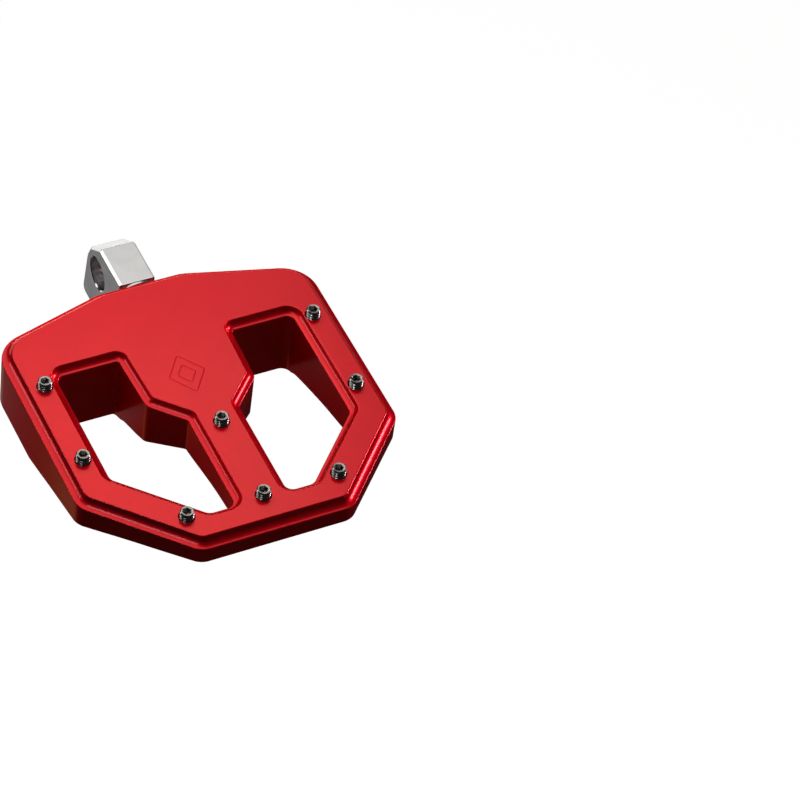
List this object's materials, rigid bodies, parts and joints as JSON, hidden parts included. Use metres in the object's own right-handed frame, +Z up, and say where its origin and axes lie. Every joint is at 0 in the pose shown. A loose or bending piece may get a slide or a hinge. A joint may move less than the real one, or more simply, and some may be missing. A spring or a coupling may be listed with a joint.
{
  "type": "flat foot platform pedal",
  "caption": "Red anodised flat foot platform with two windows and threaded traction pins, on a steel hinge tongue with a pivot hole.",
  "frame": {"origin": "centre of the pivot hole in the hinge tongue", "axes": "+Z up from the tread, +X along the pivot hole, +Y from the platform towards the pivot"},
  "size_m": [0.1142, 0.1473, 0.0365],
  "materials": {
    "red_anodised": "satin anodised",
    "pin_steel": "oiled plain steel",
    "tongue_steel": "satin machined",
    "bolt_steel": "black oxide",
    "washer_steel": "zinc plated"
  },
  "bodies": {
    "mount": {"mount_tongue": "tongue_steel", "clamp_bolt": "bolt_steel", "lock_washer": "bolt_steel", "flat_washer": "washer_steel"},
    "platform": {"platform": "red_anodised"},
    "pin_1": {"traction_pin_1": "pin_steel"},
    "pin_2": {"traction_pin_2": "pin_steel"},
    "pin_3": {"traction_pin_3": "pin_steel"},
    "pin_4": {"traction_pin_4": "pin_steel"},
    "pin_5": {"traction_pin_5": "pin_steel"},
    "pin_6": {"traction_pin_6": "pin_steel"},
    "pin_7": {"traction_pin_7": "pin_steel"},
    "pin_8": {"traction_pin_8": "pin_steel"}
  },
  "joints": [
    {"name": "platform_swivel", "type": "hinge", "parent": "mount", "child": "platform", "pos_m": [0, -0.03, 0], "axis": [0, 1, 0], "continuous": true},
    {"name": "pin_1_height", "type": "slide", "parent": "platform", "child": "pin_1", "axis": [0, 0, 1], "range_m": [-0.0029, 0.001]},
    {"name": "pin_2_height", "type": "slide", "parent": "platform", "child": "pin_2", "axis": [0, 0, 1], "range_m": [-0.0029, 0.001]},
    {"name": "pin_3_height", "type": "slide", "parent": "platform", "child": "pin_3", "axis": [0, 0, 1], "range_m": [-0.0029, 0.001]},
    {"name": "pin_4_height", "type": "slide", "parent": "platform", "child": "pin_4", "axis": [0, 0, 1], "range_m": [-0.0029, 0.001]},
    {"name": "pin_5_height", "type": "slide", "parent": "platform", "child": "pin_5", "axis": [0, 0, 1], "range_m": [-0.0029, 0.001]},
    {"name": "pin_6_height", "type": "slide", "parent": "platform", "child": "pin_6", "axis": [0, 0, 1], "range_m": [-0.0029, 0.001]},
    {"name": "pin_7_height", "type": "slide", "parent": "platform", "child": "pin_7", "axis": [0, 0, 1], "range_m": [-0.0029, 0.001]},
    {"name": "pin_8_height", "type": "slide", "parent": "platform", "child": "pin_8", "axis": [0, 0, 1], "range_m": [-0.0029, 0.001]}
  ]
}
